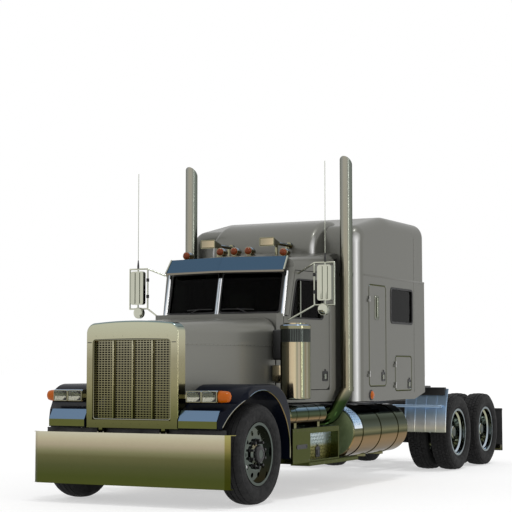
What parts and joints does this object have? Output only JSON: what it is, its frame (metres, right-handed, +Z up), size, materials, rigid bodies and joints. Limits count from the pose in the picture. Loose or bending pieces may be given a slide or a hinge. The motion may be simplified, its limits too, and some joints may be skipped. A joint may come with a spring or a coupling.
{
  "type": "semi truck tractor unit",
  "caption": "Long-nose highway tractor unit with a walk-in sleeper, twin exhaust stacks, tilting hood, opening doors, steered front axle and rocking fifth wheel.",
  "frame": {"origin": "middle of the bounding box's base, on the road", "axes": "+X forward, +Y to the driver's left, +Z up"},
  "size_m": [8.81, 2.764, 4],
  "materials": {
    "paint_grey": "satin metallic",
    "paint_dark": "gloss",
    "chrome": "polished",
    "alloy": "polished",
    "frame_black": "semi gloss",
    "iron": "bare",
    "steel": "machined",
    "tyre": "matt",
    "rubber": "matt",
    "glass": "tinted",
    "amber": "gloss",
    "trim_plastic": "grained",
    "seat_cloth": "woven",
    "floor_mat": "ribbed"
  },
  "bodies": {
    "chassis": {"frame": "frame_black", "engine": "iron", "driveline": "iron", "radiator": "frame_black", "bumper": "chrome", "front_axle": "iron", "rear_axles": "iron", "suspension": "frame_black", "tanks": "alloy", "tank_straps": "steel", "step_boxes": "alloy", "exhaust_stacks": "chrome", "air_cleaners": "chrome", "cabin_floor": "floor_mat", "cab_front": "paint_grey", "cab_sides": "paint_grey", "cab_roof": "paint_grey", "sleeper_sides": "paint_grey", "sleeper_ends": "paint_grey", "sleeper_roof": "paint_grey", "cabin_glass": "glass", "sun_visor": "chrome", "roof_lamps": "amber", "air_horns": "chrome", "dashboard": "trim_plastic", "seats": "seat_cloth", "quarter_fenders": "chrome", "rear_bar": "rubber", "fifth_wheel_base": "frame_black"},
    "hood": {"hood": "paint_grey", "fenders": "paint_dark", "grille_surround": "chrome", "grille": "chrome", "headlamps": "chrome"},
    "door_left": {"door_left": "paint_grey", "door_glass_left": "glass", "mirror_left": "chrome"},
    "sleeper_door_left": {"sleeper_door_left": "paint_grey"},
    "locker_door_left": {"locker_door_left": "paint_grey"},
    "steer_left": {"knuckle_left": "iron"},
    "wheel_front_left": {"wheel_front_left": "alloy", "tyre_front_left": "tyre"},
    "wheels_mid_left": {"wheels_mid_left": "alloy", "tyres_mid_left": "tyre"},
    "wheels_rear_left": {"wheels_rear_left": "alloy", "tyres_rear_left": "tyre"},
    "door_right": {"door_right": "paint_grey", "door_glass_right": "glass", "mirror_right": "chrome"},
    "sleeper_door_right": {"sleeper_door_right": "paint_grey"},
    "locker_door_right": {"locker_door_right": "paint_grey"},
    "steer_right": {"knuckle_right": "iron"},
    "wheel_front_right": {"wheel_front_right": "alloy", "tyre_front_right": "tyre"},
    "wheels_mid_right": {"wheels_mid_right": "alloy", "tyres_mid_right": "tyre"},
    "wheels_rear_right": {"wheels_rear_right": "alloy", "tyres_rear_right": "tyre"},
    "tie_rod": {"tie_rod": "steel"},
    "fifth_wheel": {"fifth_wheel": "frame_black"}
  },
  "joints": [
    {"name": "steer_left", "type": "hinge", "parent": "chassis", "child": "steer_left", "pos_m": [3.695, 0.88, 0.53], "axis": [0, 0, 1], "range_deg": [-32, 32]},
    {"name": "steer_right", "type": "hinge", "parent": "chassis", "child": "steer_right", "pos_m": [3.695, -0.88, 0.53], "axis": [0, 0, 1], "range_deg": [-32, 32]},
    {"name": "tie_rod_pivot", "type": "hinge", "parent": "steer_left", "child": "tie_rod", "pos_m": [3.525, 0.88, 0.395], "axis": [0, 0, 1], "range_deg": [-32, 32]},
    {"name": "spin_front_left", "type": "hinge", "parent": "steer_left", "child": "wheel_front_left", "pos_m": [3.695, 1.058, 0.53], "axis": [0, 1, 0], "continuous": true},
    {"name": "spin_front_right", "type": "hinge", "parent": "steer_right", "child": "wheel_front_right", "pos_m": [3.695, -1.058, 0.53], "axis": [0, 1, 0], "continuous": true},
    {"name": "spin_mid_left", "type": "hinge", "parent": "chassis", "child": "wheels_mid_left", "pos_m": [-2.455, 0.911, 0.53], "axis": [0, 1, 0], "continuous": true},
    {"name": "spin_mid_right", "type": "hinge", "parent": "chassis", "child": "wheels_mid_right", "pos_m": [-2.455, -0.911, 0.53], "axis": [0, 1, 0], "continuous": true},
    {"name": "spin_rear_left", "type": "hinge", "parent": "chassis", "child": "wheels_rear_left", "pos_m": [-3.675, 0.911, 0.53], "axis": [0, 1, 0], "continuous": true},
    {"name": "spin_rear_right", "type": "hinge", "parent": "chassis", "child": "wheels_rear_right", "pos_m": [-3.675, -0.911, 0.53], "axis": [0, 1, 0], "continuous": true},
    {"name": "hood_tilt", "type": "hinge", "parent": "chassis", "child": "hood", "pos_m": [4.315, 0, 0.786], "axis": [0, 1, 0], "range_deg": [0, 65]},
    {"name": "door_left_hinge", "type": "hinge", "parent": "chassis", "child": "door_left", "pos_m": [2.38781, 0.82614, 1.7], "axis": [0, 0, -1], "range_deg": [0, 70]},
    {"name": "sleeper_door_left_hinge", "type": "hinge", "parent": "chassis", "child": "sleeper_door_left", "pos_m": [0.766, 1.199, 1.8], "axis": [0, 0, -1], "range_deg": [0, 90]},
    {"name": "locker_door_left_hinge", "type": "hinge", "parent": "chassis", "child": "locker_door_left", "pos_m": [-0.089, 1.199, 1.36], "axis": [0, 0, -1], "range_deg": [0, 90]},
    {"name": "door_right_hinge", "type": "hinge", "parent": "chassis", "child": "door_right", "pos_m": [2.38781, -0.82614, 1.7], "axis": [0, 0, 1], "range_deg": [0, 70]},
    {"name": "sleeper_door_right_hinge", "type": "hinge", "parent": "chassis", "child": "sleeper_door_right", "pos_m": [0.766, -1.199, 1.8], "axis": [0, 0, 1], "range_deg": [0, 90]},
    {"name": "locker_door_right_hinge", "type": "hinge", "parent": "chassis", "child": "locker_door_right", "pos_m": [-0.089, -1.199, 1.36], "axis": [0, 0, 1], "range_deg": [0, 90]},
    {"name": "fifth_wheel_rock", "type": "hinge", "parent": "chassis", "child": "fifth_wheel", "pos_m": [-3.065, 0, 1.075], "axis": [0, 1, 0], "range_deg": [-12, 12]}
  ],
  "couplings": [
    {"joint": "steer_right", "follows": "steer_left", "ratio": 1},
    {"joint": "tie_rod_pivot", "follows": "steer_left", "ratio": -1}
  ]
}
